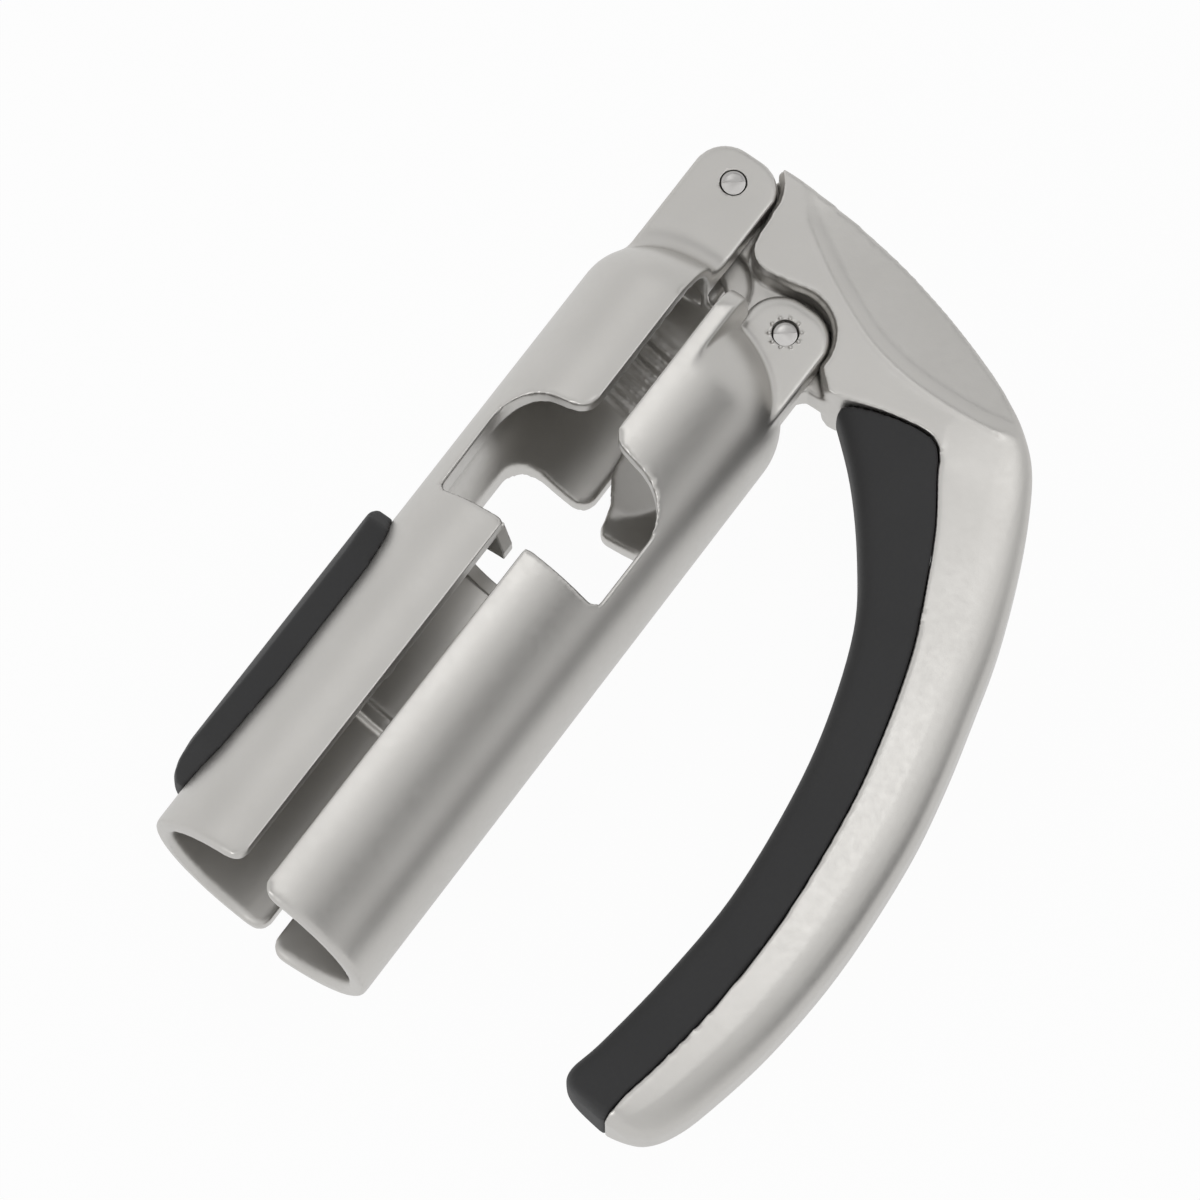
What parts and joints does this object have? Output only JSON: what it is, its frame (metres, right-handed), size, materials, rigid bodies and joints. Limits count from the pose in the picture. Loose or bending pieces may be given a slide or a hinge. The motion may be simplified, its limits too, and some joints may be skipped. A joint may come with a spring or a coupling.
{
  "type": "champagne opener",
  "caption": "Lever champagne opener: two half shells stand round the bottle neck, and the curved lever with a rubber grip draws one shell up to lift the cork.",
  "frame": {"origin": "centre of the mouth on the tube's axis, level with the right shell's lower end", "axes": "+Y runs along the tube from its mouth to its head, +X points to the lever, and +Z points out of the front, which is the side in the picture"},
  "size_m": [0.0992, 0.1407, 0.0399],
  "materials": {
    "shell_metal": "satin zinc alloy",
    "lever_metal": "satin zinc alloy",
    "grip_rubber": "matt soft rubber",
    "pin_steel": "turned steel"
  },
  "bodies": {
    "base": {"right_shell": "shell_metal", "lower_pin": "pin_steel"},
    "lever": {"lever_body": "lever_metal", "lever_grip": "grip_rubber"},
    "lifter": {"left_shell": "shell_metal", "palm_pad": "grip_rubber", "upper_pin": "pin_steel"}
  },
  "joints": [
    {"name": "lever_turn", "type": "hinge", "parent": "base", "child": "lever", "pos_m": [0.0113, 0.1188, 0], "axis": [0, 0, 1], "range_deg": [0, 65]},
    {"name": "lifter_turn", "type": "hinge", "parent": "lever", "child": "lifter", "pos_m": [-0.00941, 0.13401, 0], "axis": [0, 0, 1], "range_deg": [-65, 0]}
  ],
  "couplings": [
    {"joint": "lifter_turn", "follows": "lever_turn", "ratio": -1}
  ]
}
